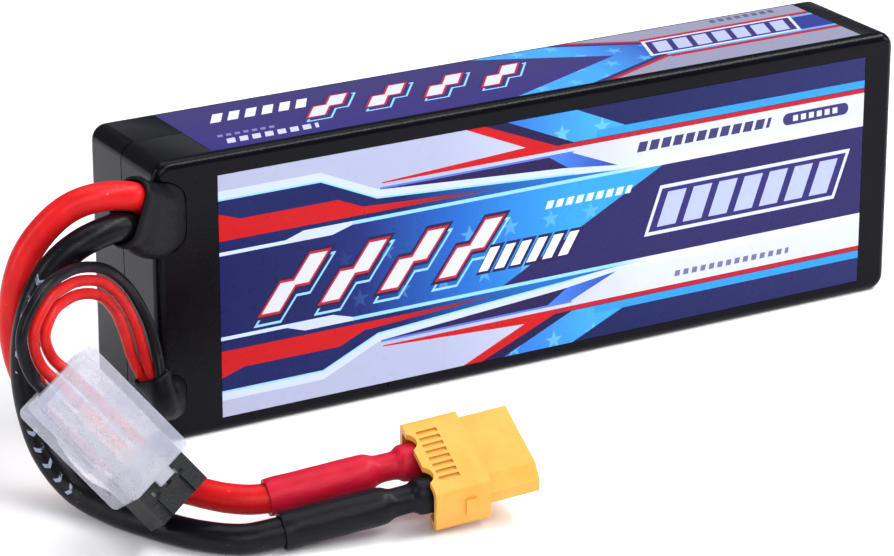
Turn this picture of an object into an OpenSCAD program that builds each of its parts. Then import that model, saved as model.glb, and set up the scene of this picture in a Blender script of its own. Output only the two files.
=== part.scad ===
// Hard-case two-cell lithium polymer pack with twin silicone leads, a keyed
// two-pole plug and a three-way balance plug held in a clear snap clip.
// Millimetres. X runs along the pack with the leads at its -X end, Y is the
// depth with the labelled face at -Y, Z is up and the pack stands on z = 0.

/* [Case] */
// Outer length of the hard case
case_length = 138; // [115:0.5:166]
// Outer depth of the hard case
case_depth = 23.5; // [19.5:0.25:28.5]
// Outer height of the hard case
case_height = 46; // [38:0.5:55.5]
// Wall of the moulded halves
wall = 1.5; // [1.2:0.05:1.8]
// Corner radius of the outline seen from the front
outline_radius = 2.6; // [2.2:0.1:3.1]
// Rounding round the front and back faces
edge_radius = 1.5; // [1.2:0.05:1.8]
// Depth of the lap that joins the halves
lap_depth = 1.2; // [1:0.05:1.45]

/* [Label] */
// Thickness of the printed film
label_thickness = 0.12; // [0.1:0.01:0.15]
// Bare case left of the front label
label_left = 10.7; // [9:0.1:12.8]
// Bare case right of the front label
label_right = 6; // [5:0.1:7.2]
// Bare case above and below the front label
label_band = 3; // [2.5:0.1:3.6]

/* [Cells] */
// Free length for wiring at the lead end of the case
wiring_space = 18; // [16.5:0.25:21.5]
// Gap between the two cells
pad_thickness = 0.6; // [0.5:0.05:0.7]
// Foam tape between each cell and the case
tape_thickness = 0.25; // [0.2:0.01:0.3]
// Width of each cell tab
tab_width = 10; // [8.5:0.25:11]
// Thickness of each cell tab
tab_thickness = 0.3; // [0.25:0.01:0.36]
// Thickness of the tap board
board_thickness = 1; // [0.8:0.05:1.2]

/* [Leads] */
// Outer diameter of the two power leads
lead_diameter = 4.5; // [3.8:0.05:4.5]
// Diameter of the bare strands inside a power lead
core_diameter = 2.5; // [2.1:0.05:2.6]
// Outer diameter of each balance wire
balance_diameter = 1.7; // [1.4:0.05:1.7]

/* [Connector] */
// Width of the connector cap across its two contacts
cap_width = 16; // [15.8:0.1:19]
// Thickness of the connector cap
cap_thickness = 8.1; // [7.9:0.1:9.7]
// Length of the connector cap
cap_length = 8.6; // [8.2:0.1:9.4]
// Length of the nose in front of the cap
nose_length = 7.8; // [7.2:0.1:9.3]
// Distance between the two contacts
contact_pitch = 7.2; // [7.2:0.05:7.6]
// Inner diameter of each contact's socket
socket_diameter = 3.5; // [2.9:0.05:3.6]

/* [Balance clip] */
// Length of the snap clip
clip_length = 20.5; // [19.5:0.25:24.5]
// Width of the snap clip
clip_width = 12.6; // [12.6:0.1:15]
// Thickness of the closed snap clip
clip_thickness = 7.9; // [7.9:0.1:9.4]
// Width of the balance plug
plug_width = 9.8; // [9.2:0.05:9.8]
// Thickness of the balance plug
plug_thickness = 5.75; // [4.8:0.05:5.75]

/* [Hidden] */
$fn = 48;
xe = -case_length / 2;
xr = case_length / 2;
yf = -case_depth / 2;
cav_d = case_depth / 2 - wall;
cell_x = xe + wall + wiring_space;
cell_l = xr - wall - 1 - cell_x;
cell_h = case_height - 2 * wall - 1;
cell_t = cav_d - tape_thickness - pad_thickness / 2;
cell_mid = pad_thickness / 2 + cell_t / 2;
tab_low = 0.37 * case_height;
tab_high = 0.74 * case_height;
paper_x = cell_x - 0.3;
board_x = cell_x - 8.1;
board_w = 2 * cav_d - 1.5;
bar_x = board_x - board_thickness - 0.3;
tab_end = board_x - board_thickness - 1.0;
socket_wall = 0.5;
contact_r = socket_diameter / 2 + socket_wall;
core_r = core_diameter / 2;
lead_r = lead_diameter / 2;
wire_r = balance_diameter / 2;
sleeve_r = lead_r + 0.6;

// Everything outside the lead end keeps its place relative to this corner.
corner_shift = [xe + 69, yf + 11.75, 0];

// Openings in the lead-end corner: centre, heading and section.
main_hole = [-66.4, -9.2, 37.05];
main_turn = -45;
main_w = 7.4;
main_h = 12.5;
tap_hole = [-66.75, -10.6, 8];
tap_turn = -26.6;
tap_w = 5.2;
tap_h = 7.0;

function unit(v) = v / norm(v);
function across(h, t) = unit(h - (h * t) * t);
// Tangents at the stations of a route.
function headings(p) = [for (i = [0:len(p) - 1])
    i == 0 ? unit(p[1] - p[0]) :
    i == len(p) - 1 ? unit(p[i] - p[i - 1]) :
    unit(unit(p[i + 1] - p[i]) + unit(p[i] - p[i - 1]))];
// A normal carried along the route without twist.
function carried(t, n0) = [for (i = 0, n = across(n0, t[0]); i < len(t);
    i = i + 1, n = (i < len(t) ? across(n, t[i]) : n)) n];
// The same normal at every station, made square to the route.
function squared(t, h) = [for (i = [0:len(t) - 1]) across(h[i], t[i])];
function beside(p, h, o) = [for (i = [0:len(p) - 1]) p[i] + o[i] * h[i]];
// One ring of a straight-sided oval with half height a and half width b.
function ring(c, h, w, a, b, n) = [for (k = [0:n - 1])
    let (q = 360 * (k + 0.5) / n)
    c + ((a - b) * sign(cos(q)) + b * cos(q)) * h + b * sin(q) * w];

// Closed skin over rings given one after another.
module skin(rings) {
    n = len(rings[0]);
    m = len(rings);
    polyhedron(
        points = [for (r = rings) for (p = r) p],
        faces = concat(
            [[for (k = [0:n - 1]) n - 1 - k]],
            [for (i = [0:m - 2]) for (k = [0:n - 1])
                [i * n + k, (i + 1) * n + (k + 1) % n, (i + 1) * n + k]],
            [for (i = [0:m - 2]) for (k = [0:n - 1])
                [i * n + k, i * n + (k + 1) % n, (i + 1) * n + (k + 1) % n]],
            [[for (k = [0:n - 1]) (m - 1) * n + k]]),
        convexity = 6);
}

// Closed skin whose last ring meets its first: out along the outside and
// back along the inside of a moulded tube.
module hollow_skin(rings) {
    n = len(rings[0]);
    m = len(rings);
    polyhedron(
        points = [for (r = rings) for (p = r) p],
        faces = concat(
            [for (i = [0:m - 1]) for (k = [0:n - 1])
                [i * n + k, ((i + 1) % m) * n + (k + 1) % n, ((i + 1) % m) * n + k]],
            [for (i = [0:m - 1]) for (k = [0:n - 1])
                [i * n + k, i * n + (k + 1) % n, ((i + 1) % m) * n + (k + 1) % n]]),
        convexity = 6);
}

// Round tube solid along a route.
module swept(p, r, sides) {
    t = headings(p);
    h = carried(t, [0.11, 0.07, 1]);
    skin([for (i = [0:len(p) - 1])
        ring(p[i], h[i], cross(h[i], t[i]), r, r, sides)]);
}

// Flattened rings along a route, half sizes per station.
function oval_rings(p, h, a, b, sides) =
    let (t = headings(p))
    [for (i = [0:len(p) - 1])
        ring(p[i], h[i], cross(h[i], t[i]), a[i], b[i], sides)];
function backwards(v) = [for (i = [len(v) - 1:-1:0]) v[i]];

// Rounded rectangle centred on the origin, true arcs.
module plate2(l, h, r) {
    square([l - 2 * r, h], center = true);
    square([l, h - 2 * r], center = true);
    for (x = [-1, 1])
        for (y = [-1, 1])
            translate([x * (l / 2 - r), y * (h / 2 - r)])
                circle(r = r);
}

// Case outline set in by i.
module outline(i) {
    translate([0, case_height / 2])
        plate2(case_length - 2 * i, case_height - 2 * i,
            max(outline_radius - i, 0.6));
}

// Upright oval bar through the lead-end corner.
module oval_bar(c, turn, w, h, l) {
    translate(c)
        rotate([90, 0, turn])
            linear_extrude(height = l, center = true) {
                square([w, h - w], center = true);
                for (s = [-1, 1])
                    translate([0, s * (h - w) / 2])
                        circle(d = w);
            }
}

// Solid half with a rounded face, from the seam to -Y.
module half_block() {
    rotate([90, 0, 0])
        hull()
            for (b = [0, 30, 60, 90])
                linear_extrude(height = case_depth / 2 - edge_radius
                        + edge_radius * sin(b))
                    outline(edge_radius * (1 - cos(b)), $fn = 32);
}

module half_shell() {
    difference() {
        half_block();
        rotate([90, 0, 0])
            translate([0, 0, -1])
                linear_extrude(height = cav_d + 1)
                    outline(wall);
        // shadow line along the seam
        rotate([90, 0, 0])
            translate([0, 0, -1])
                linear_extrude(height = 1.12)
                    difference() {
                        outline(-2);
                        outline(0.2);
                    }
        // shallow seat for the upper label
        translate([xe + label_left - 0.1, -cav_d + 0.1, case_height - label_thickness])
            cube([case_length - label_left - label_right + 0.2, case_depth, 2]);
    }
    // ribs that hold the end of the cell
    for (z = [wall + 4, case_height - wall - 8])
        translate([cell_x - 2.2, -cav_d - 0.2, z])
            cube([1.2, 2.2, 4]);
}

module case_front() {
    color("#17181f")
        difference() {
            union() {
                half_shell();
                // tongue of the lap
                rotate([90, 0, 0])
                    translate([0, 0, -lap_depth])
                        linear_extrude(height = lap_depth + 0.4)
                            difference() {
                                outline(wall / 2 + 0.05);
                                outline(wall);
                            }
            }
            translate(corner_shift) {
                oval_bar(main_hole, main_turn, main_w, main_h, 12);
                oval_bar(tap_hole, tap_turn, tap_w, tap_h, 8);
            }
            // seat for the front label
            translate([xe + label_left - 0.1, yf - 1, label_band - 0.6])
                cube([case_length - label_left - label_right + 0.2,
                    1 + label_thickness, case_height - 2 * label_band + 0.2]);
            // small notch in the lower edge
            translate([xe + 40, yf - 0.01, 1.7])
                cube([0.4, 0.25, 1]);
        }
}

module case_back() {
    color("#17181f")
        difference() {
            mirror([0, 1, 0])
                half_shell();
            // rebate that takes the lap
            rotate([90, 0, 0])
                translate([0, 0, -lap_depth - 0.1])
                    linear_extrude(height = lap_depth + 1)
                        outline(wall / 2);
        }
}

module label_front() {
    color("#2a3a7c")
        translate([xe + label_left, yf, label_band - 0.5])
            cube([case_length - label_left - label_right,
                label_thickness, case_height - 2 * label_band]);
}

module label_top() {
    color("#30306c")
        translate([xe + label_left, -cav_d + 0.2, case_height - label_thickness])
            cube([case_length - label_left - label_right,
                2 * cav_d - 0.4, label_thickness]);
}

// Pouch cell in front of the pad; s = -1 front, 1 back.
module pouch(s) {
    y = s * cell_mid;
    difference() {
        union() {
            translate([cell_x + 5, y, wall + 0.5 + cell_h / 2])
                rotate([90, 0, 90])
                    linear_extrude(height = cell_l - 5)
                        plate2(cell_t, cell_h, 1.6);
            // sealed end of the pouch
            translate([cell_x, y - 0.35, wall + 1.5])
                cube([5.2, 0.7, cell_h - 2]);
        }
        for (z = [tab_low, tab_high])
            translate([cell_x - 1, y - tab_thickness / 2, z - tab_width / 2])
                cube([5, tab_thickness, tab_width]);
    }
}

module cell_front() {
    color("#b9bcc4")
        pouch(-1);
}

module cell_back() {
    color("#b4b8c0")
        pouch(1);
}

module cell_pad() {
    color("#e6e2d6")
        translate([cell_x + 9, -pad_thickness / 2, wall + 4])
            cube([cell_l - 14, pad_thickness, case_height - 2 * wall - 8]);
}

module tape(s) {
    y = s * (cav_d - tape_thickness / 2);
    translate([cell_x + 12, y - tape_thickness / 2, wall + 5])
        cube([cell_l - 22, tape_thickness, case_height - 2 * wall - 10]);
}

module tape_front() {
    color("#f2efe6")
        tape(-1);
}

module tape_back() {
    color("#f0ede4")
        tape(1);
}

module tab_strip(y, z) {
    translate([tab_end, y - tab_thickness / 2, z - tab_width / 2])
        cube([cell_x + 4 - tab_end, tab_thickness, tab_width]);
}

module positive_tabs() {
    color("#c8cbd0") {
        tab_strip(-cell_mid, tab_low);
        tab_strip(cell_mid, tab_high);
    }
}

module negative_tabs() {
    color("#b6ab98") {
        tab_strip(-cell_mid, tab_high);
        tab_strip(cell_mid, tab_low);
    }
}

module slot_pair(z, x, l, room) {
    for (s = [-1, 1])
        translate([x, s * cell_mid - tab_thickness / 2 - room,
                z - tab_width / 2 - room])
            cube([l, tab_thickness + 2 * room, tab_width + 2 * room]);
}

module series_bar() {
    color("#c07a48")
        difference() {
            translate([bar_x, -cell_mid - 1.6, tab_low - tab_width / 2 - 1.2])
                cube([0.3, 2 * cell_mid + 3.2, tab_width + 2.4]);
            slot_pair(tab_low, bar_x - 1, 3, 0.06);
        }
}

module tap_board() {
    color("#2e6a45")
        difference() {
            translate([board_x - board_thickness, -board_w / 2, wall + 1.5])
                cube([board_thickness, board_w, case_height - 2 * wall - 3]);
            slot_pair(tab_low, board_x - 3, 5, 0.25);
            slot_pair(tab_high, board_x - 3, 5, 0.25);
        }
}

module insulating_paper() {
    color("#d9c48e")
        difference() {
            translate([paper_x, -board_w / 2 + 0.2, wall + 0.8])
                cube([0.3, board_w - 0.4, case_height - 2 * wall - 1.6]);
            slot_pair(tab_low, paper_x - 1, 3, 0.3);
            slot_pair(tab_high, paper_x - 1, 3, 0.3);
        }
}

// Route of the pair of power leads through the boot, stations and height axis.
boot_path = [[-62.3, -5.1, 37.05], [-66.4, -9.2, 37.05], [-69.0, -11.8, 37.15],
    [-71.3, -13.5, 38.3], [-73.4, -14.7, 39.7], [-75.5, -15.7, 41.0]];
boot_t = headings(boot_path);
boot_h = squared(boot_t, [for (i = boot_path) [0, 0, 1]]);
pair_gap = [2.3, 2.3, 2.3, 2.3, 2.33, 2.36];
pair_low = -pair_gap;

// Connector placement: origin where cap and nose meet, X towards the nose.
plug_at = [-40.1, -57.9, 8.0];
plug_turn = [21, -7, -11];
function turned(v, r) =
    let (a = [v[0], v[1] * cos(r[0]) - v[2] * sin(r[0]),
            v[1] * sin(r[0]) + v[2] * cos(r[0])],
        b = [a[0] * cos(r[1]) + a[2] * sin(r[1]), a[1],
            -a[0] * sin(r[1]) + a[2] * cos(r[1])])
    [b[0] * cos(r[2]) - b[1] * sin(r[2]),
        b[0] * sin(r[2]) + b[1] * cos(r[2]), b[2]];
function at_plug(u, v) = plug_at + turned([u, v, 0], plug_turn);

black_route = concat(beside(boot_path, boot_h, pair_low),
    [[-80.8, -17.2, 38.9], [-84.8, -17.0, 37.4], [-88.2, -16.3, 34.5],
    [-91.0, -15.9, 30.0], [-92.8, -16.1, 24.8], [-93.7, -17.1, 19.2],
    [-93.7, -18.9, 13.4], [-92.8, -21.8, 7.7], [-90.9, -27.0, 3.6],
    [-88.4, -34.4, 2.4], [-85.2, -42.6, 2.4], [-81.0, -49.8, 2.4],
    [-76.2, -54.0, 2.45], at_plug(-31.5, -contact_pitch / 2),
    at_plug(-15.1, -contact_pitch / 2)]);
red_route = concat(beside(boot_path, boot_h, pair_gap),
    [[-79.7, -15.0, 43.8], [-84.0, -13.9, 42.6], [-87.8, -12.4, 39.2],
    [-90.6, -11.1, 34.5], [-92.1, -10.4, 28.5], [-92.4, -10.5, 22.2],
    [-91.6, -12.1, 16.5], [-89.7, -16.1, 12.3], [-87.0, -22.3, 9.3],
    [-84.4, -29.2, 7.2], [-81.2, -35.8, 6.0], [-77.8, -41.6, 5.6],
    [-74.2, -46.2, 5.4], at_plug(-31.5, contact_pitch / 2),
    at_plug(-15.1, contact_pitch / 2)]);

// Clip placement: origin in the middle of its cover, X towards the plug.
clip_at = [-92.1, -44.2, 20.5];
clip_turn = [41, 45.5, -40];
clip_mid = -clip_thickness / 2;
plug_rear = clip_length / 2 - 4.35;
function at_clip(u, v) = clip_at + turned([u, v, clip_mid], clip_turn);

// Where wires meet the tap board, before the corner shift.
board_face = board_x - board_thickness - corner_shift[0];

// Route of the three balance wires, with the side the black one lies on and
// the spacing between neighbours.
tap_path = [[-65.0, -7.1, 8], [-66.75, -10.6, 8], [-67.7, -12.5, 8.05],
    [-69.0, -13.9, 8.8], [-70.3, -14.2, 10.4], [-71.2, -13.6, 12.7],
    [-72.0, -12.7, 16.4], [-73.0, -12.4, 20.6], [-75.6, -13.6, 25.8],
    [-80.0, -17.2, 30.6], [-85.6, -22.8, 34.2], [-91.6, -28.8, 36.4],
    [-97.0, -33.4, 36.2], [-100.0, -35.2, 32.4],
    at_clip(-clip_length / 2 - 2.5, 0), at_clip(-clip_length / 2 + 1.5, 0),
    at_clip(plug_rear - 4, 0), at_clip(plug_rear + 2.5, 0)];
tap_t = headings(tap_path);
clip_side = turned([0, -1, 0], clip_turn);
tap_side = squared(tap_t, [[0, 0, -1], [0, 0, -1], [0, -0.1, -1],
    [-0.2, -0.5, -0.85], [0.1, -0.9, -0.35], [0.45, -0.85, 0],
    [0.85, -0.5, 0], [1, -0.1, 0.1], [0.85, 0.2, 0.5],
    [0.5, 0.2, 0.85], [0.2, 0.1, 1], [-0.2, -0.1, 1],
    [-0.7, -0.3, 0.6], [-0.9, -0.2, 0.1], clip_side, clip_side,
    clip_side, clip_side]);
tap_step = [1.8, 1.8, 1.8, 1.82, 1.82, 1.82, 1.95, 2, 2, 2, 2, 2, 2.05, 2.1,
    2.2, 2.3, 2.5, 2.5];
function tap_wire(k) = concat(
    [[board_face, -2.6, 8 - 1.8 * k], [board_face - 1.4, -2.6, 8 - 1.8 * k],
        [-62.3, -3.1, 8 - 1.8 * k], [-64.0, -5.1, 8 - 1.8 * k]],
    beside(tap_path, tap_side, [for (s = tap_step) k * s]));

module main_boot() {
    out = oval_rings(boot_path, boot_h, [6.15, 6.15, 5.9, 5.75, 5.6, 5.4],
        [3.6, 3.6, 3.5, 3.35, 3.2, 3.1], 32);
    in = oval_rings(boot_path, boot_h, [for (i = boot_path) 4.88],
        [for (i = boot_path) 2.52], 32);
    t = boot_t[0];
    w = cross(boot_h[0], t);
    color("#15161a")
        translate(corner_shift)
            hollow_skin(concat(
                [ring(boot_path[0], boot_h[0], w, 7.1, 4.7, 32),
                    ring(boot_path[0] + 1.2 * t, boot_h[0], w, 7.1, 4.7, 32),
                    ring(boot_path[0] + 1.2 * t, boot_h[0], w, 6.15, 3.6, 32)],
                [for (i = [1:5]) out[i]],
                backwards(in)));
}

module balance_boot() {
    p = [for (i = [0:5]) tap_path[i]];
    h = [for (i = [0:5]) tap_side[i]];
    out = oval_rings(p, h, [3.4, 3.4, 3.4, 3.4, 3.35, 3.3],
        [2.5, 2.5, 2.5, 2.4, 2.25, 2.15], 28);
    in = oval_rings(p, h, [for (i = p) 2.95], [for (i = p) 1.4], 28);
    color("#15161a")
        translate(corner_shift)
            hollow_skin(concat(out, backwards(in)));
}

module lead_black() {
    color("#1c1d23")
        translate(corner_shift)
            swept(black_route, lead_r, 12);
}

module lead_red() {
    color("#e03434")
        translate(corner_shift)
            swept(red_route, lead_r, 12);
}

// Stripped strands at both ends of a power lead.
module bare_end(side) {
    translate(plug_at)
        rotate(plug_turn)
            translate([-15.1, side * contact_pitch / 2, 0])
                rotate([0, 90, 0])
                    cylinder(r = core_r, h = 8.1);
}

module core_black() {
    p = beside(boot_path, boot_h, pair_low)[0];
    color("#b0a89c")
        translate(corner_shift) {
            swept([p, p + [0.8, 0.8, 0], [-60.2, -3.45, 34.4],
                [board_face - 0.3, -3.4, 34.3], [board_face, -3.4, 34.3]],
                core_r, 12);
            bare_end(-1);
        }
}

module core_red() {
    p = beside(boot_path, boot_h, pair_gap)[0];
    color("#b0a89c")
        translate(corner_shift) {
            swept([p, p + [0.6, 0.6, 0], [-61.2, -2.6, 39.1], [-61.1, 0.2, 38],
                [-60.6, 2.6, 36.7], [board_face - 0.5, 3.4, 36.3],
                [board_face, 3.4, 36.3]],
                core_r, 12);
            bare_end(1);
        }
}

module sleeve(side) {
    translate(plug_at)
        rotate(plug_turn)
            translate([0, side * contact_pitch / 2, 0])
                rotate([0, 90, 0])
                    rotate_extrude()
                        polygon([[sleeve_r, -31], [sleeve_r, -15.6],
                            [2.1, -13.4], [2.1, -11.2], [2.8, -9.9],
                            [2.8, -7.7], [2.3, -7.7], [2.3, -10.2],
                            [1.5, -11.4], [1.5, -13.6],
                            [lead_r + 0.1, -14.9], [lead_r + 0.1, -31]]);
}

module sleeve_black() {
    color("#22232a")
        translate(corner_shift)
            sleeve(-1);
}

module sleeve_red() {
    color("#d8324c")
        translate(corner_shift)
            sleeve(1);
}

module plug_place() {
    translate(corner_shift)
        translate(plug_at)
            rotate(plug_turn)
                children();
}

module along_x(x0, x1) {
    translate([x0, 0, 0])
        rotate([90, 0, 90])
            linear_extrude(height = x1 - x0)
                children();
}

module connector_housing() {
    nw = cap_width / 2 - 0.5;
    nt = cap_thickness / 2 - 1;
    color("#f6c65c")
        plug_place()
            difference() {
                union() {
                    along_x(0, nose_length)
                        polygon([[-nw + 2, -nt], [nw - 0.5, -nt],
                            [nw, -nt + 0.5], [nw, nt - 0.5], [nw - 0.5, nt],
                            [-nw + 2, nt], [-nw, nt - 2], [-nw, -nt + 2]]);
                    along_x(-5.5, 0.1)
                        plate2(cap_width - 2.1, cap_thickness - 2.2, 0.8);
                    // small nub between the sockets
                    translate([nose_length - 0.1, -0.6, -0.6])
                        cube([0.7, 1.2, 1.2]);
                }
                for (s = [-1, 1])
                    translate([0, s * contact_pitch / 2, 0])
                        rotate([0, 90, 0]) {
                            translate([0, 0, -6])
                                cylinder(r = contact_r + 0.05,
                                    h = nose_length - 0.8 + 6);
                            cylinder(r = socket_diameter / 2 + 0.2,
                                h = nose_length + 1);
                        }
            }
}

module connector_cap() {
    fl = cap_length;
    color("#f3c258")
        plug_place()
            difference() {
                union() {
                    along_x(-fl, 0)
                        plate2(cap_width, cap_thickness, 1);
                    // snap bumps on the short sides
                    for (s = [-1, 1])
                        translate([-3.2, s * (cap_width / 2 - 0.1), 0])
                            cube([1.6, 0.9, 3.2], center = true);
                }
                along_x(-fl - 1, 1)
                    plate2(cap_width - 2, cap_thickness - 2.1, 0.8);
                // grip fields with ridges on both broad faces
                for (s = [-1, 1])
                    for (k = [0:7])
                        translate([-fl + 3.1, -4.9 + 1.4 * k,
                                s * (cap_thickness / 2)])
                            cube([3.2, 0.75, 0.6], center = true);
                // round scallops at the rear
                for (s = [-1, 1])
                    translate([-fl - 0.9, s * contact_pitch / 2, 0])
                        cylinder(r = 1.9, h = cap_thickness + 2, center = true);
            }
}

module contact(s) {
    plug_place()
        translate([0, s * contact_pitch / 2, 0])
            rotate([0, 90, 0])
                difference() {
                    translate([0, 0, -9.6])
                        cylinder(r = contact_r, h = nose_length - 0.9 + 9.6);
                    translate([0, 0, -0.5])
                        cylinder(r = socket_diameter / 2, h = nose_length + 2);
                    translate([0, 0, -10.6])
                        cylinder(r = core_r + 0.35, h = 4.1);
                }
}

module contact_negative() {
    color("#d9b25c")
        contact(-1);
}

module contact_positive() {
    color("#dab45e")
        contact(1);
}

module balance_wire_black() {
    color("#202126")
        translate(corner_shift)
            swept(tap_wire(1), wire_r, 8);
}

module balance_wire_tap() {
    color("#d63a34")
        translate(corner_shift)
            swept(tap_wire(0), wire_r, 8);
}

module balance_wire_red() {
    color("#dc3c34")
        translate(corner_shift)
            swept(tap_wire(-1), wire_r, 8);
}

module clip_place() {
    translate(corner_shift)
        translate(clip_at)
            rotate(clip_turn)
                children();
}

module plug_housing() {
    pr = plug_rear;
    ph = plug_thickness / 2;
    color("#23242b")
        clip_place()
            translate([0, 0, clip_mid])
                difference() {
                    union() {
                        translate([pr, -plug_width / 2, -ph])
                            cube([9.8, plug_width, plug_thickness]);
                        // polarising ribs on the mating end
                        for (s = [-1, 1])
                            translate([clip_length / 2 + 2.2, s * 2.6 - 0.5, ph - 0.1])
                                cube([3.2, 1, 0.6]);
                    }
                    for (v = [-2.5, 0, 2.5]) {
                        translate([pr - 1, v, 0])
                            rotate([0, 90, 0])
                                cylinder(r = wire_r + 0.1, h = 3.7);
                        translate([pr + 2.6, v - 0.85, -1.1])
                            cube([6.6, 1.7, 2.2]);
                        translate([pr + 8, v - 0.45, -0.45])
                            cube([3, 0.9, 0.9]);
                        // window over each contact
                        translate([clip_length / 2 + 0.9, v - 0.6, 0])
                            cube([1.1, 1.2, ph + 1]);
                    }
                }
}

module plug_terminals() {
    color("#cfd2d6")
        clip_place()
            for (v = [-2.5, 0, 2.5])
                translate([0, v, clip_mid])
                    difference() {
                        union() {
                            translate([plug_rear + 2.75, 0, 0])
                                rotate([0, 90, 0])
                                    cylinder(r = 0.7, h = 1.6);
                            translate([plug_rear + 4.2, -0.75, -1])
                                cube([4.9, 1.5, 2]);
                        }
                        translate([plug_rear + 5, -0.4, -0.4])
                            cube([5, 0.8, 0.8]);
                    }
}

// Inside of the clip, from its rear wall to its open front.
module clip_room() {
    translate([-clip_length / 2 + 1.35, -plug_width / 2 - 0.06,
            clip_mid - plug_thickness / 2 - 0.06])
        cube([clip_length, plug_width + 0.12, plug_thickness + 0.12]);
    // way in for the wires
    translate([-clip_length / 2 - 1, -3.6, clip_mid - 1.05])
        cube([4, 7.2, 2.1]);
}

module clip_lower() {
    color([0.82, 0.82, 0.9, 0.45])
        clip_place()
            difference() {
                translate([0, 0, -clip_thickness])
                    linear_extrude(height = clip_thickness / 2)
                        plate2(clip_length, clip_width, 1.2);
                clip_room();
                for (s = [-1, 1])
                    translate([-3.2, s * (clip_width / 2 - 0.75) - 0.4,
                            clip_mid - 2.1])
                        cube([6.4, 0.8, 3]);
                // finger recess under the rim
                for (s = [-1, 1])
                    translate([4.5, s * (clip_width / 2) - 0.3, clip_mid - 1])
                        cube([3, 0.6, 2]);
            }
}

module clip_cover() {
    color([0.84, 0.84, 0.92, 0.45])
        clip_place()
            difference() {
                union() {
                    translate([0, 0, clip_mid])
                        linear_extrude(height = clip_thickness / 2)
                            plate2(clip_length, clip_width, 1.2);
                    // snap tongues
                    for (s = [-1, 1])
                        translate([-3, s * (clip_width / 2 - 0.75) - 0.3,
                                clip_mid - 1.9])
                            cube([6, 0.6, 2.2]);
                    // nib over the plug
                    translate([clip_length / 2 - 1, -1.5, -0.85])
                        cube([2.3, 3, 0.85]);
                }
                clip_room();
            }
}

case_front();
case_back();
label_front();
label_top();
cell_front();
cell_back();
cell_pad();
tape_front();
tape_back();
positive_tabs();
negative_tabs();
series_bar();
tap_board();
insulating_paper();
main_boot();
balance_boot();
lead_black();
lead_red();
core_black();
core_red();
sleeve_black();
sleeve_red();
connector_housing();
connector_cap();
contact_negative();
contact_positive();
balance_wire_black();
balance_wire_tap();
balance_wire_red();
plug_housing();
plug_terminals();
clip_lower();
clip_cover();
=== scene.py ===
import math

import bmesh
import bpy
import numpy as np
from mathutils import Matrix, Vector


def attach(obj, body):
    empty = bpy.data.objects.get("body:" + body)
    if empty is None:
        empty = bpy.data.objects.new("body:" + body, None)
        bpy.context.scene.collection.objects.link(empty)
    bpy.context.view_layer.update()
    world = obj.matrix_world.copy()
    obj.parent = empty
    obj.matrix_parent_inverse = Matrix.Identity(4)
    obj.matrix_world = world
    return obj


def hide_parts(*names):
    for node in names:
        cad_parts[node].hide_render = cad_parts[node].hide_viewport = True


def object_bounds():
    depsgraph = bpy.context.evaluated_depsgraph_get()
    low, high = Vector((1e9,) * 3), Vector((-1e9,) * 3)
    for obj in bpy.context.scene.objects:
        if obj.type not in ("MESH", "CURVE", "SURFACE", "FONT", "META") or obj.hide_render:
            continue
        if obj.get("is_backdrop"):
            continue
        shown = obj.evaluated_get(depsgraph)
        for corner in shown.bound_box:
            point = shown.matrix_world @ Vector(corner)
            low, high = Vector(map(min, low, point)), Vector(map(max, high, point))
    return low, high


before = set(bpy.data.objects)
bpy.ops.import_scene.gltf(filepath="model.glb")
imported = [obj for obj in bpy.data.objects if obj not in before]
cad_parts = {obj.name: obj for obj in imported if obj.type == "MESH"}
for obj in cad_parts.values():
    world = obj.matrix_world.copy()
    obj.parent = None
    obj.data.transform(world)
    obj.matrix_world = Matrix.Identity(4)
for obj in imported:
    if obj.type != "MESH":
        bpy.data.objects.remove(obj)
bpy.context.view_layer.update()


# ---------------------------------------------------------------- camera
# A long lens from the lead end of the labelled side, a little above it. The
# camera and lights are in metres; routes and profiles are in
# millimetres.
camera = bpy.data.cameras.new("camera")
camera.sensor_width = 36.0
camera.lens = 155.7
camera.clip_start = 0.05
camera.clip_end = 20.0
camera_stand = bpy.data.objects.new("camera", camera)
bpy.context.scene.collection.objects.link(camera_stand)
camera_stand.location = (-0.3066, -0.5128, 0.2361)
camera_target = Vector((-0.0111, 0.0, 0.0131))
camera_look = camera_target - camera_stand.location
camera_stand.rotation_euler = camera_look.to_track_quat("-Z", "Y").to_euler()
bpy.context.scene.camera = camera_stand


# ---------------------------------------------------------------- power leads
# Two stranded copper leads in soft silicone rubber, black and red. They leave
# the upper corner of the case one above the other, swing out and down, and
# run side by side along the bench to the keyed connector.
MM = 0.001
lead_radius = 2.25
pole_offset = 3.6  # each pole of the connector, from its middle line


def ink(r, g, b):
    """Linear colour of a paint given as 0 to 255 display values."""
    c = np.array([r, g, b]) / 255.0
    c = np.where(c <= 0.04045, c / 12.92, ((c + 0.055) / 1.055) ** 2.4)
    return (float(c[0]), float(c[1]), float(c[2]), 1.0)


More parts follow.
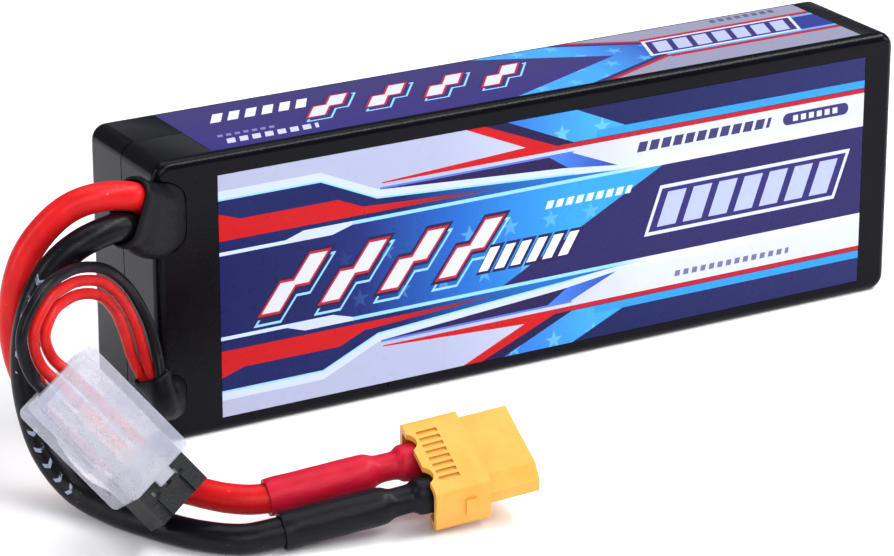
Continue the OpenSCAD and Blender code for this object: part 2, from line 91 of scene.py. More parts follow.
class Value:
    """A socket of a finish that can be used in sums."""

    def __init__(self, finish, socket):
        self.finish, self.socket = finish, socket

    def _do(self, operation, *others):
        return self.finish.add("ShaderNodeMath", {"operation": operation},
                               [self, *others])

    def __add__(self, o): return self._do("ADD", o)
    def __radd__(self, o): return self._do("ADD", o)
    def __sub__(self, o): return self._do("SUBTRACT", o)
    def __rsub__(self, o): return self.finish.add("ShaderNodeMath", {"operation": "SUBTRACT"},
                                                  [o, self])
    def __mul__(self, o): return self._do("MULTIPLY", o)
    def __rmul__(self, o): return self._do("MULTIPLY", o)
    def __truediv__(self, o): return self._do("DIVIDE", o)
    def __neg__(self): return self._do("MULTIPLY", -1.0)
    def __gt__(self, o): return self._do("GREATER_THAN", o)
    def __lt__(self, o): return self._do("LESS_THAN", o)
    def __abs__(self): return self._do("ABSOLUTE")
    def smaller(self, o): return self._do("MINIMUM", o)
    def larger(self, o): return self._do("MAXIMUM", o)
    def wrapped(self, period): return self._do("FLOORED_MODULO", period)
    def sine(self): return self._do("SINE")
    def power(self, o): return self._do("POWER", o)

    def ramp(self, low, high):
        """0 below low, 1 above high, straight between."""
        return self.finish.add("ShaderNodeMapRange", {"clamp": True},
                               [self, low, high, 0.0, 1.0])


class Finish:
    """A material under construction: its nodes, and its own shader."""

    def __init__(self, name, roughness=0.4, **constants):
        self.material = bpy.data.materials.new(name)
        self.material.use_nodes = True
        self.tree = self.material.node_tree
        self.tree.nodes.clear()
        self.shader = self.tree.nodes.new("ShaderNodeBsdfPrincipled")
        out = self.tree.nodes.new("ShaderNodeOutputMaterial")
        self.tree.links.new(self.shader.outputs["BSDF"], out.inputs["Surface"])
        self.shader.inputs["Roughness"].default_value = roughness
        for key, value in constants.items():
            self.shader.inputs[key.replace("_", " ")].default_value = value

    def add(self, kind, settings=None, inputs=(), out=0):
        """One node: its settings first, then values or links for its sockets."""
        node = self.tree.nodes.new(kind)
        for key, value in (settings or {}).items():
            if key == "stops":
                ramp = node.color_ramp
                while len(ramp.elements) < len(value):
                    ramp.elements.new(0.5)
                for element, (place, colour) in zip(ramp.elements, value):
                    element.position, element.color = place, colour
            else:
                setattr(node, key, value)
        pairs = inputs.items() if isinstance(inputs, dict) else enumerate(inputs)
        for key, value in pairs:
            if isinstance(value, Value):
                self.tree.links.new(value.socket, node.inputs[key])
            elif value is not None:
                node.inputs[key].default_value = value
        return Value(self, node.outputs[out])

    def spot(self):
        """Place on the piece in metres, as one vector."""
        return self.add("ShaderNodeTexCoord", out="Object")

    def place(self):
        """Millimetres along the pack, across it and up, as three values."""
        spot = self.spot()
        return [self.add("ShaderNodeSeparateXYZ", {}, [spot], axis) * 1000.0
                for axis in range(3)]

    def noise(self, scale, detail=3.0, roughness=0.55, where=None):
        """Cloudy value about 0.5, with scale in cycles per metre."""
        return self.add("ShaderNodeTexNoise", {"noise_dimensions": "3D"},
                        {"Vector": where or self.spot(), "Scale": scale,
                         "Detail": detail, "Roughness": roughness}, "Fac")

    def mix(self, mask, under, over):
        """Colour under where mask is 0 and over where it is 1."""
        return self.add("ShaderNodeMix", {"data_type": "RGBA"},
                        {0: mask, 6: under, 7: over}, 2)

    def feed(self, name, value):
        """Links a value to the shader's own socket."""
        self.tree.links.new(value.socket, self.shader.inputs[name])

    def bump(self, height, distance):
        """Relief from a height of 0 to 1 that stands distance metres tall."""
        self.feed("Normal", self.add("ShaderNodeBump", {}, {"Strength": 1.0, "Distance": distance,
                                                            "Height": height}))


def wear(obj, finish):
    """Gives a piece one finish all over."""
    obj.data.materials.clear()
    obj.data.materials.append(finish.material)


def surface(name, points, uv=None, ring=False):
    """A closed skin over a grid of points (rows, columns, 3) in millimetres.

    Each row is a loop. The last row joins the first where ring is set; else
    the first and last rows are filled with a face each.
    """
    rows, cols = points.shape[:2]
    index = np.arange(rows * cols).reshape(rows, cols)
    if ring:
        index = np.vstack([index, index[:1]])
    index = np.hstack([index, index[:, :1]])
    corners = [index[:-1, :-1], index[:-1, 1:], index[1:, 1:], index[1:, :-1]]
    faces = np.stack(corners, -1).reshape(-1, 4).tolist()
    if not ring:
        faces.append(list(range(cols))[::-1])
        faces.append([(rows - 1) * cols + k for k in range(cols)])
    mesh = bpy.data.meshes.new(name)
    mesh.from_pydata((points.reshape(-1, 3) * MM).tolist(), [], faces)
    mesh.update()
    built = bmesh.new()
    built.from_mesh(mesh)
    bmesh.ops.recalc_face_normals(built, faces=built.faces)
    built.to_mesh(mesh)
    built.free()
    mesh.polygons.foreach_set("use_smooth", [True] * len(mesh.polygons))
    if uv is not None:
        layer = mesh.uv_layers.new(name="run")
        corner = np.empty(len(mesh.loops), dtype=np.int64)
        mesh.loops.foreach_get("vertex_index", corner)
        layer.data.foreach_set("uv", uv.reshape(-1, 2)[corner].astype(np.float32).ravel())
    obj = bpy.data.objects.new(name, mesh)
    bpy.context.scene.collection.objects.link(obj)
    return obj


def unit(v):
    """Vectors scaled to length 1."""
    return v / np.linalg.norm(v, axis=-1, keepdims=True)


def smooth_run(points, step):
    """A centripetal cubic through the points, sampled evenly every step."""
    p = np.asarray(points, float)
    p = np.vstack([2 * p[0] - p[1], p, 2 * p[-1] - p[-2]])
    a, b, c, d = p[:-3, None], p[1:-2, None], p[2:-1, None], p[3:, None]
    k = [np.linalg.norm(v - u, axis=-1, keepdims=True) ** 0.5
         for u, v in ((a, b), (b, c), (c, d))]
    t0, t1, t2, t3 = 0 * k[0], k[0], k[0] + k[1], k[0] + k[1] + k[2]
    t = t1 + (t2 - t1) * np.linspace(0, 1, 24, endpoint=False)[None, :, None]
    a1 = (t1 - t) / (t1 - t0) * a + (t - t0) / (t1 - t0) * b
    a2 = (t2 - t) / (t2 - t1) * b + (t - t1) / (t2 - t1) * c
    a3 = (t3 - t) / (t3 - t2) * c + (t - t2) / (t3 - t2) * d
    b1 = (t2 - t) / (t2 - t0) * a1 + (t - t0) / (t2 - t0) * a2
    b2 = (t3 - t) / (t3 - t1) * a2 + (t - t1) / (t3 - t1) * a3
    fine = ((t2 - t) / (t2 - t1) * b1 + (t - t1) / (t2 - t1) * b2).reshape(-1, 3)
    fine = np.vstack([fine, p[-2]])
    gone = np.concatenate([[0], np.cumsum(np.linalg.norm(np.diff(fine, axis=0), axis=1))])
    stops = np.linspace(0, gone[-1], max(int(gone[-1] / step), 4) + 1)
    return np.stack([np.interp(stops, gone, fine[:, i]) for i in range(3)], -1), gone[-1]


def headings(line):
    """Direction of the line at each of its points."""
    return unit(np.gradient(line, axis=0))


def round_tube(name, points, radius, step, sides):
    """A round tube: centre(s) + radius * (cos q * h + sin q * w), where h is one
    outward direction made square to the run and w completes the frame. Its
    UV holds millimetres along the run, and the turn from h (-0.5 to 0.5)."""
    line, length = smooth_run(points, step)
    t = headings(line)
    outward = np.array([-0.5, -0.8, 0.35])
    h = unit(outward - (t @ outward)[:, None] * t)
    w = np.cross(t, h)
    q = np.linspace(0, 2 * np.pi, sides, endpoint=False)[None, :, None]
    grid = line[:, None] + radius * (np.cos(q) * h[:, None] + np.sin(q) * w[:, None])
    along = np.linspace(0, length, len(line))[:, None] + 0 * q[..., 0]
    turn = (q[..., 0] + 0 * along) / (2 * np.pi)
    turn = np.where(turn > 0.5, turn - 1, turn)
    obj = surface(name, grid, np.stack([along, turn], -1))
    return obj, line, length


def turn_matrix(x, y, z):
    """Rotation by x, then y, then z degrees about the fixed axes."""
    x, y, z = np.radians([x, y, z])
    rx = np.array([[1, 0, 0], [0, np.cos(x), -np.sin(x)], [0, np.sin(x), np.cos(x)]])
    ry = np.array([[np.cos(y), 0, np.sin(y)], [0, 1, 0], [-np.sin(y), 0, np.cos(y)]])
    rz = np.array([[np.cos(z), -np.sin(z), 0], [np.sin(z), np.cos(z), 0], [0, 0, 1]])
    return rz @ ry @ rx


plug_turn = turn_matrix(21, -7, -11)
plug_at = np.array([-40.1, -57.9, 8.0])


def at_plug(u, v, n=0.0):
    """A place in the connector's own frame, u towards its nose."""
    return plug_at + plug_turn @ np.array([u, v, n])


boot_path = np.array([[-62.3, -5.1, 37.05], [-66.4, -9.2, 37.05], [-69.0, -11.8, 37.15],
                      [-71.3, -13.5, 38.3], [-73.4, -14.7, 39.7], [-75.5, -15.7, 41.0]])


def corner_headings(p):
    """Heading at each station of a coarse route, halving each corner."""
    legs = unit(np.diff(p, axis=0))
    return np.vstack([legs[:1], unit(legs[:-1] + legs[1:]), legs[-1:]])


boot_t = corner_headings(boot_path)
boot_h = unit(np.array([0, 0, 1.0]) - boot_t[:, 2:] * boot_t)
half_gap = np.array([2.3, 2.3, 2.3, 2.3, 2.33, 2.36])[:, None]  # from boot middle to each lead
black_run = np.vstack([boot_path - half_gap * boot_h, [
    [-80.8, -17.2, 38.9], [-84.8, -17.0, 37.4], [-88.2, -16.3, 34.5],
    [-91.0, -15.9, 30.0], [-92.8, -16.1, 24.8], [-93.7, -17.1, 19.2],
    [-93.7, -18.9, 13.4], [-92.8, -21.8, 7.7], [-90.9, -27.0, 3.6],
    [-88.4, -34.4, 2.4], [-85.2, -42.6, 2.4], [-81.0, -49.8, 2.4],
    [-76.2, -54.0, 2.45], at_plug(-31.5, -pole_offset),
    at_plug(-23.0, -pole_offset), at_plug(-15.1, -pole_offset)]])
red_run = np.vstack([boot_path + half_gap * boot_h, [
    [-79.7, -15.0, 43.8], [-84.0, -13.9, 42.6], [-87.8, -12.4, 39.2],
    [-90.6, -11.1, 34.5], [-92.1, -10.4, 28.5], [-92.4, -10.5, 22.2],
    [-91.6, -12.1, 16.5], [-89.7, -16.1, 12.3], [-87.0, -22.3, 9.3],
    [-84.4, -29.2, 7.2], [-81.2, -35.8, 6.0], [-77.8, -41.6, 5.6],
    [-74.2, -46.2, 5.4], at_plug(-31.5, pole_offset),
    at_plug(-23.0, pole_offset), at_plug(-15.1, pole_offset)]])
lead_black, black_line, black_length = round_tube("power_lead_black", black_run,
                                                  lead_radius, 0.7, 40)
lead_red, red_line, red_length = round_tube("power_lead_red", red_run,
                                            lead_radius, 0.7, 40)


def silicone(name, colour, deep, printed=False):
    """Soft silicone: cloudy colour, fine bloom and rare dust specks, with two
    worn stretches of small chevrons along the outer side if printed."""
    f = Finish(name, 0.36, Specular_IOR_Level=0.15)
    cloud = f.noise(260.0, 4.0)
    tone = f.mix(cloud.ramp(0.35, 0.7), colour, deep)
    if printed:
        run = f.add("ShaderNodeUVMap", {"uv_map": "run"})
        along = f.add("ShaderNodeSeparateXYZ", {}, [run], 0)
        turn = f.add("ShaderNodeSeparateXYZ", {}, [run], 1)
        off = abs(turn - 0.03)
        chevrons = ((along + off * 12.0).wrapped(2.9) < 0.75) * (off < 0.058)
        printed_part = (along > 33.0) * (along < 49.0) + (along > 54.0) * (along < 72.0)
        worn = f.noise(900.0, 2.0).ramp(0.34, 0.5)
        tone = f.mix(chevrons * printed_part * worn * 0.7, tone, ink(168, 178, 200))
    speck = f.noise(2600.0, 1.0).ramp(0.76, 0.8)
    f.feed("Base Color", f.mix(speck * 0.25, tone, ink(200, 200, 205)))
    f.feed("Roughness", f.noise(520.0, 3.0) * 0.14 + 0.26)
    f.bump(f.noise(1500.0, 3.0) * 0.5 + f.noise(190.0, 2.0), 0.00009)
    return f


wear(lead_black, silicone("black_silicone", ink(10, 10, 19), ink(6, 6, 12), True))
wear(lead_red, silicone("red_silicone", ink(208, 27, 28), ink(190, 20, 24)))
for piece, node in ((lead_black, "lead_black"), (lead_red, "lead_red")):
    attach(piece, "pack")
    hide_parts(node)


# ---------------------------------------------------------------- balance wires
# Three thin silicone wires, one black and two red, rise from the lower corner
# in a loop and drop into the back of the clear clip.
wire_radius, wire_pitch = 0.85, 1.8
clip_turn = turn_matrix(41, 45.5, -40)
clip_at = np.array([-92.1, -44.2, 20.5])


def at_clip(u, v, n=-3.95):
    """A place in the clip's own frame, u towards the balance plug."""
    return clip_at + clip_turn @ np.array([u, v, n])


tap_path = np.array([[-65.0, -7.1, 8], [-66.75, -10.6, 8], [-67.7, -12.5, 8.05],
                     [-69.0, -13.9, 8.8], [-70.3, -14.2, 10.4], [-71.2, -13.6, 12.7],
                     [-72.0, -12.7, 16.4], [-73.0, -12.4, 20.6], [-75.6, -13.6, 25.8],
                     [-80.0, -17.2, 30.6], [-85.6, -22.8, 34.2], [-91.6, -28.8, 36.4],
                     [-97.0, -33.4, 36.2], [-100.0, -35.2, 32.4],
                     at_clip(-12.75, 0), at_clip(-8.75, 0), at_clip(1.9, 0), at_clip(8.4, 0)])
tap_t = corner_headings(tap_path)
clip_side = clip_turn @ np.array([0, -1.0, 0])
tap_side = np.array([[0, 0, -1], [0, 0, -1], [0, -0.1, -1], [-0.2, -0.5, -0.85],
                     [0.1, -0.9, -0.35], [0.45, -0.85, 0], [0.85, -0.5, 0], [1, -0.1, 0.1],
                     [0.85, 0.2, 0.5], [0.5, 0.2, 0.85], [0.2, 0.1, 1], [-0.2, -0.1, 1],
                     [-0.7, -0.3, 0.6], [-0.9, -0.2, 0.1],
                     clip_side, clip_side, clip_side, clip_side])
tap_side = unit(tap_side - np.sum(tap_side * tap_t, 1, keepdims=True) * tap_t)
tap_step = np.array([1.8, 1.8, 1.8, 1.82, 1.82, 1.82, 1.95, 2, 2, 2, 2, 2, 2.05, 2.1,
                     2.2, 2.3, 2.5, 2.5])[:, None]
wire_black_finish = silicone("balance_black", ink(12, 12, 20), ink(7, 7, 12))
wire_red_finish = silicone("balance_red", ink(200, 30, 26), ink(172, 20, 22))
balance = {}
for name, k, finish in (("balance_wire_black", 1, wire_black_finish),
                        ("balance_wire_tap", 0, wire_red_finish),
                        ("balance_wire_red", -1, wire_red_finish)):
    low = 8 - wire_pitch * k
    run = np.vstack([[[-58.6, -2.6, low], [-60.0, -2.6, low], [-62.3, -3.1, low],
                      [-64.0, -5.1, low]], tap_path + k * tap_step * tap_side])
    wire, line, length = round_tube(name + "_skin", run, wire_radius, 0.5, 20)
    wear(wire, finish)
    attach(wire, "pack")
    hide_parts(name)
    "black_silicone" if k == 1 else "red_silicone"
    balance[name] = (wire, line, length)


# ---------------------------------------------------------------- lead boots
# Moulded black rubber grommets that fill the two slots in the lead-end corner
# and taper along the leads to save them from kinking.
def stadium(c, h, w, a, b, sides):
    """Straight-sided oval rings: c + ((a-b)*sign(cos q) + b*cos q)*h + b*sin q*w,
    with the sign softened by tanh."""
    q = (np.linspace(0, 2 * np.pi, sides, endpoint=False) + np.pi / sides)[None, :, None]
    a, b = a[:, None, None], b[:, None, None]
    side = np.tanh(np.cos(q) * 7) / np.tanh(7)
    across = (a - b) * side + b * np.cos(q)
    return c[:, None] + across * h[:, None] + b * np.sin(q) * w[:, None]


def moulded_boot(name, path, side, out_a, out_b, in_a, in_b, lip):
    """Out along the outside with a rolled lip at the mouth, back down the bore.
    a and b are half the height and half the width at each station of the path."""
    sides = 48
    p, _ = smooth_run(path, 0.55)
    gone = np.concatenate([[0], np.cumsum(np.linalg.norm(np.diff(path, axis=0), axis=1))])
    s = np.linspace(0, 1, len(p))

    def grab(v):
        return np.interp(s * gone[-1], gone, v)

    h = np.stack([grab(side[:, i]) for i in range(3)], -1)
    t = headings(p)
    h = unit(h - np.sum(h * t, 1, keepdims=True) * t)
    w = np.cross(h, t)
    rolled_lip = 0.045 * np.exp(-((s - 0.97) / 0.035) ** 2)
    waist = 0.02 * np.exp(-((s - 0.86) / 0.05) ** 2)
    swell = 1 + rolled_lip - waist
    a, b = grab(out_a) * swell, grab(out_b) * swell
    flange = lip * (s < 0.07)
    outer = stadium(p, h, w, a + flange, b + flange, sides)
    mouth = stadium(p[-1:] + 0.25 * t[-1:], h[-1:], w[-1:], a[-1:] - 0.22, b[-1:] - 0.22, sides)
    inner = stadium(p[::-1], h[::-1], w[::-1], grab(in_a)[::-1], grab(in_b)[::-1], sides)
    return surface(name, np.concatenate([outer, mouth, inner]), ring=True)


def rubber(name, colour):
    """Satin moulded rubber with soft handling marks."""
    f = Finish(name, 0.4, Specular_IOR_Level=0.12)
    f.feed("Base Color", f.mix(f.noise(420.0, 4.0).ramp(0.3, 0.75), colour, ink(12, 12, 19)))
    f.feed("Roughness", f.noise(700.0, 3.0) * 0.22 + 0.3)
    f.bump(f.noise(1300.0, 4.0) + f.noise(240.0, 2.0) * 1.4, 0.00012)
    return f


boot_finish = rubber("boot_rubber", ink(7, 7, 12))
main_boot = moulded_boot("main_boot_skin", boot_path, boot_h,
                         np.array([6.15, 6.15, 5.9, 5.75, 5.6, 5.4]),
                         np.array([3.6, 3.6, 3.5, 3.35, 3.2, 3.1]),
                         np.full(6, 4.88), np.full(6, 2.52), 0.9)
tap_boot = moulded_boot("balance_boot_skin", tap_path[:6], tap_side[:6],
                        np.array([3.4, 3.4, 3.4, 3.4, 3.35, 3.3]),
                        np.array([2.5, 2.5, 2.5, 2.4, 2.25, 2.15]),
                        np.full(6, 2.95), np.full(6, 1.4), 0.0)
for piece, node in ((main_boot, "main_boot"), (tap_boot, "balance_boot")):
    wear(piece, boot_finish)
    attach(piece, "pack")
    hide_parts(node)


# ---------------------------------------------------------------- shrink sleeves
# Two lengths of shrink tube, crimson and black, pulled tight over the solder
# joint so they wrinkle and neck in just behind the connector.
def shrunk_sleeve(name, side, seed):
    """Radius along the sleeve: full on the lead, a smooth neck behind the cup
    and full again over it, plus shallow shrink ripples round and along it. The
    skin goes out along the outside and back along the bore."""
    u = np.linspace(-31.0, -7.7, 150)
    neck_start = 0.5 * (np.tanh((u + 14.7) / 0.75) + 1)
    neck_end = 0.5 * (1 - np.tanh((u + 10.55) / 0.5))
    neck = neck_start * neck_end
    r = 2.86 - 0.74 * neck - 0.06 * np.exp(-((u + 31) / 0.5) ** 2)
    r = r + 0.03 * np.exp(-((u + 29.4) / 1.1) ** 2)
    q = np.linspace(0, 2 * np.pi, 48, endpoint=False)[None]
    near_neck = 0.035 * np.exp(-((u + 12.6) / 2.6) ** 2)[:, None]
    ripple = near_neck * np.sin(5 * q + 0.8 * u[:, None] + seed)
    twist = 0.018 * np.sin(2 * q + 0.5 * u[:, None] + 2 * seed)
    ripple = ripple + twist * np.sin(0.9 * u)[:, None]
    outer = r[:, None] + ripple
    inner = np.interp(u, [-31, -14.9, -13.6, -11.4, -10.2, -7.7],
                      [2.35, 2.35, 1.5, 1.5, 2.3, 2.3])
    radius = np.concatenate([outer, inner[::-1, None] + 0 * q])
    u = np.concatenate([u, u[::-1]])[:, None] + 0 * q
    grid = np.stack([u, side * pole_offset + radius * np.cos(q), radius * np.sin(q)], -1)
    grid = grid @ plug_turn.T + plug_at
    return surface(name, grid, ring=True)


def shrink_film(name, colour, deep):
    """Semi-gloss polyolefin: streaky colour drawn along the tube, fine creases."""
    f = Finish(name, 0.34, Specular_IOR_Level=0.15)
    streak = f.add("ShaderNodeMapping", {}, {"Vector": f.spot(), "Scale": (0.25, 1.0, 1.0)})
    f.feed("Base Color", f.mix(f.noise(900.0, 3.0, where=streak).ramp(0.3, 0.75), colour, deep))
    f.feed("Roughness", f.noise(620.0, 3.0) * 0.2 + 0.26)
    f.bump(f.noise(800.0, 4.0, where=streak), 0.00012)
    return f


sleeve_black = shrunk_sleeve("shrink_sleeve_black", -1, 0.4)
sleeve_red = shrunk_sleeve("shrink_sleeve_red", 1, 2.1)
wear(sleeve_black, shrink_film("black_shrink", ink(12, 13, 22), ink(7, 7, 13)))
wear(sleeve_red, shrink_film("red_shrink", ink(192, 24, 50), ink(174, 17, 40)))
for piece, node in ((sleeve_black, "sleeve_black"), (sleeve_red, "sleeve_red")):
    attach(piece, "pack")
    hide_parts(node)


# ---------------------------------------------------------------- connector
# A keyed two-pole plug moulded in warm yellow nylon: a nose with two corners
# cut on the black side, and a cap snapped over the solder cups behind it.
def finished_copy(node, name, width, segments=2, angle=35.0):
    """A joined copy of a CAD node with its flats rebuilt, and its edges sharper
    than angle degrees eased by width millimetres. The clip's cover rides its
    own body."""
    same_point, same_flat = 4e-6, math.radians(0.6)
    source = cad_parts[node]
    built = bmesh.new()
    built.from_mesh(source.data)
    bmesh.ops.remove_doubles(built, verts=built.verts, dist=same_point)
    bmesh.ops.dissolve_limit(built, angle_limit=same_flat, verts=built.verts, edges=built.edges)
    mesh = bpy.data.meshes.new(name)
    built.to_mesh(mesh)
    built.free()
    obj = bpy.data.objects.new(name, mesh)
    bpy.context.scene.collection.objects.link(obj)
    mesh.polygons.foreach_set("use_smooth", [True] * len(mesh.polygons))
    mesh.set_sharp_from_angle(angle=math.radians(angle))
    if width:
        ease = obj.modifiers.new("eased_edges", "BEVEL")
        ease.width = width * MM
        ease.segments = segments
        ease.limit_method = "ANGLE"
        ease.angle_limit = math.radians(angle)
        ease.use_clamp_overlap = True
        ease.harden_normals = True
    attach(obj, "cover" if node == "clip_cover" else "pack")
    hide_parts(node)
    return obj


def nylon(name, colour, deep, recess_shade, shine):
    """Moulded nylon: faint flow clouds, painted shade in the recesses, fine satin."""
    f = Finish(name, 0.42, Specular_IOR_Level=shine)
    flow = f.noise(170.0, 4.0, 0.6)
    hollow = f.add("ShaderNodeNewGeometry", out="Pointiness").ramp(0.42, 0.5)
    base = f.mix(flow.ramp(0.3, 0.7), colour, deep)
    # painted shade: the colour darkens in the recesses that pointiness finds
    f.feed("Base Color", f.mix((1.0 - hollow) * 0.55, base, recess_shade))
    f.feed("Roughness", f.noise(900.0, 3.0) * 0.18 + 0.32)
    f.bump(f.noise(2400.0, 3.0) + f.noise(330.0, 2.0), 0.00006)
    return f


# the third colour is painted shade in the connector's recesses
connector_finish = nylon("connector_nylon", ink(226, 166, 70), ink(218, 154, 56),
                         ink(168, 106, 30), 0.4)
# a wider bevel on the housing would fold over itself at its keyed corner
housing = finished_copy("connector_housing", "connector_housing_skin", 0.03)
cap = finished_copy("connector_cap", "connector_cap_skin", 0.16)
for piece in (housing, cap):
    wear(piece, connector_finish)


def plated(name, colour, deep, roughness):
    """Plated metal with a fine turned or rolled grain and soft tarnish."""
    f = Finish(name, roughness, Metallic=1.0)
    tarnish = f.noise(480.0, 4.0)
    f.feed("Base Color", f.mix(tarnish.ramp(0.35, 0.75), colour, deep))
    f.feed("Roughness", f.noise(1500.0, 3.0) * 0.2 + (roughness - 0.1))
    f.bump(f.noise(3800.0, 2.0), 0.00003)
    return f


gold = plated("gold_plate", ink(236, 196, 110), ink(206, 160, 78), 0.26)
for node in ("contact_negative", "contact_positive"):
    contact = finished_copy(node, node + "_skin", 0.0)
    wear(contact, gold)

strands = Finish("tinned_strands", 0.38, Metallic=1.0)
x, y, z = strands.place()
twist = (y * 7.0 + z * 9.0 + x * 2.5).sine() * 0.5 + 0.5
# the colour darkens into the grooves between the strands: painted shade
strands.feed("Base Color", strands.mix(twist, ink(150, 146, 140), ink(214, 210, 204)))
strands.bump(twist, 0.00015)
for node in ("core_black", "core_red"):
    wear(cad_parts[node], strands)


# ---------------------------------------------------------------- balance plug
# A small black three-way crimp housing with its tinned terminals, closed in
# the clip so only its mating end shows.
# the third colour is painted shade in the plug's recesses
plug_finish = nylon("plug_nylon", ink(18, 19, 26), ink(13, 14, 19), ink(6, 6, 9), 0.24)
plug = finished_copy("plug_housing", "balance_plug_skin", 0.14)
wear(plug, plug_finish)
tin = plated("tinned_bronze", ink(214, 216, 220), ink(178, 180, 186), 0.3)
wear(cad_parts["plug_terminals"], tin)


# ---------------------------------------------------------------- snap clip
# A milky clear polypropylene clip in two halves that snap round the balance
# plug, so the plug can be pulled without tugging on its wires.
def milky(name):
    """Clear milky plastic: about two fifths opaque in cloudy patches and wisps,
    glossy with soft sink marks."""
    f = Finish(name, 0.2, Specular_IOR_Level=0.6, Coat_Weight=0.35, Coat_Roughness=0.12)
    cloud = f.noise(210.0, 4.0, 0.6)
    wisps = f.noise(520.0, 3.0)
    f.feed("Base Color", f.mix(cloud.ramp(0.35, 0.68), ink(206, 206, 216),
                               ink(182, 184, 204)))
    f.feed("Alpha", cloud.ramp(0.3, 0.75) * 0.14 + wisps * 0.14 + 0.26)
    f.feed("Roughness", wisps * 0.18 + 0.12)
    f.bump(f.noise(260.0, 2.0) + f.noise(900.0, 2.0) * 0.3, 0.00012)
    return f


clip_finish = milky("milky_clear")
clip_pieces = []
for node in ("clip_lower", "clip_cover"):
    shell = finished_copy(node, node + "_skin", 0.3, 3)
    wear(shell, clip_finish)
    clip_pieces.append(shell)

carried = ([tap_boot, clip_pieces[0]], [plug, clip_pieces[1]],
           [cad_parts["plug_terminals"]])
for (name, (wire, line, length)), held in zip(balance.items(), carried):
    length * MM
    (line * MM).tolist()


# ---------------------------------------------------------------- case
# Two moulded halves of black ABS, lapped and welded along a seam round the
# middle of the pack, with rounded faces and two slots for the boots.
def moulded_black():
    """Smooth black ABS: cloudy haze, faint rub marks and very low waves."""
    f = Finish("case_black", 0.24, Specular_IOR_Level=0.1)
    haze = f.noise(38.0, 4.0, 0.6)
    f.feed("Base Color", f.mix(haze.ramp(0.3, 0.75), ink(5, 5, 11), ink(9, 9, 17)))
    rub = f.noise(700.0, 4.0, 0.7).ramp(0.6, 0.9)
    f.feed("Roughness", haze * 0.12 + rub * 0.12 + 0.12)
    f.bump(f.noise(3200.0, 2.0) * 0.5 + f.noise(60.0, 2.0) * 1.2, 0.00005)
    return f


case_finish = moulded_black()
for node in ("case_front", "case_back"):
    half = finished_copy(node, node + "_skin", 0.0, angle=38.0)
    even = half.modifiers.new("flat_faces_stay_flat", "WEIGHTED_NORMAL")
    even.weight = 100
    even.keep_sharp = True
    wear(half, case_finish)


# ---------------------------------------------------------------- labels
# Printed gloss film on the front and the top: mirrored bent bands of navy and
# red, starred blue chevrons, outlined bolts and plain slanted dashes. Figures
# are millimetres: x along the pack, z up the front, y across the top.
front_middle, top_middle = 22.6, 0.6
lav, pale, white = ink(164, 170, 198), ink(188, 201, 232), ink(198, 204, 228)
navy, indigo, deep_violet = ink(15, 23, 84), ink(32, 27, 84), ink(32, 18, 70)
red, crimson, maroon = ink(184, 10, 18), ink(172, 18, 38), ink(108, 14, 40)
line_blue, sky = ink(138, 198, 248), ink(44, 140, 222)


def bent(x, knots):
    """Straight lines through the knots, flat outside them: first height plus
    each change of slope times how far x is past that knot."""
    total, slope = knots[0][1], 0.0
    for (x0, w0), (x1, w1) in zip(knots[:-1], knots[1:]):
        rise = (w1 - w0) / (x1 - x0)
        total = total + (x - x0).larger(0.0) * (rise - slope)
        slope = rise
    return total + (x - knots[-1][0]).larger(0.0) * (-slope)


def right_of(x, w, a, b):
    """1 on the +x side of the line through a and b."""
    return (x - (w - a[1]) * ((b[0] - a[0]) / (b[1] - a[1]))) > a[0]


def stars(f, x, y, pitch, size, lift):
    """Five-point stars on a brick lattice with rows lift pitches apart: with a
    the angle from the nearest tip, a star is where
    radius * (0.2234 cos a + 0.6926 sin a) < 0.2234 size."""
    tip, flank, apart = 0.2234, 0.6926, math.radians(72)
    row = f.add("ShaderNodeMath", {"operation": "FLOOR"}, [y / (pitch * lift)])
    u = (x + row * (pitch * 0.37)).wrapped(pitch) - pitch / 2
    v = y.wrapped(pitch * lift) - pitch * lift / 2
    radius = (u * u + v * v).power(0.5)
    angle = f.add("ShaderNodeMath", {"operation": "ARCTAN2"}, [u, v])
    a = abs((angle / apart + 0.5).wrapped(1.0) - 0.5) * apart
    return radius * ((a + math.pi / 2).sine() * tip + a.sine() * flank) < tip * size


def bolt_field(s, z, pitch, thick, tall):
    """Distance outside a row of stepped bolts in slanted coordinates: each is
    two boxes that overlap, the upper one shifted on and the lower one back."""
    c = s.wrapped(pitch) - pitch / 2
    shift, rise = thick * 0.32, tall * 0.42
    half_wide, half_tall = thick * 0.5, tall * 0.56
    upper = (abs(c - shift) - half_wide).larger(abs(z - rise) - half_tall)
    lower = (abs(c + shift) - half_wide).larger(abs(z + rise) - half_tall)
    return upper.smaller(lower)


def bolts(f, tone, x, z, x0, thick, tall, halo):
    """Four white bolts edged in red on a dark halo, a light line behind them."""
    count, pitch = 4, 10.6
    s = x - z * 0.75
    inside = (s > x0) * (s < x0 + count * pitch)
    d = bolt_field(s - x0, z, pitch, thick, tall)
    back = bolt_field(s - x0 - 0.9, z + 1.15, pitch, thick, tall)
    tone = f.mix(inside * (back < 0.55) * (back > 0.15), tone, line_blue)
    tone = f.mix(inside * (d < 0.62), tone, halo)
    tone = f.mix(inside * (d < 0.12), tone, ink(172, 30, 48))
    return f.mix(inside * (d < -0.3), tone, ink(202, 206, 228))


def dashes(f, tone, x, z, x0, x1, z0, z1, pitch, fill, colour, slant):
    """A row of small slanted dashes that fill that share of the pitch."""
    s = x - (z - z0) * slant
    row = (s > x0) * (s < x1) * (z > z0) * (z < z1)
    return f.mix(row * ((s - x0).wrapped(pitch) < pitch * fill), tone, colour)


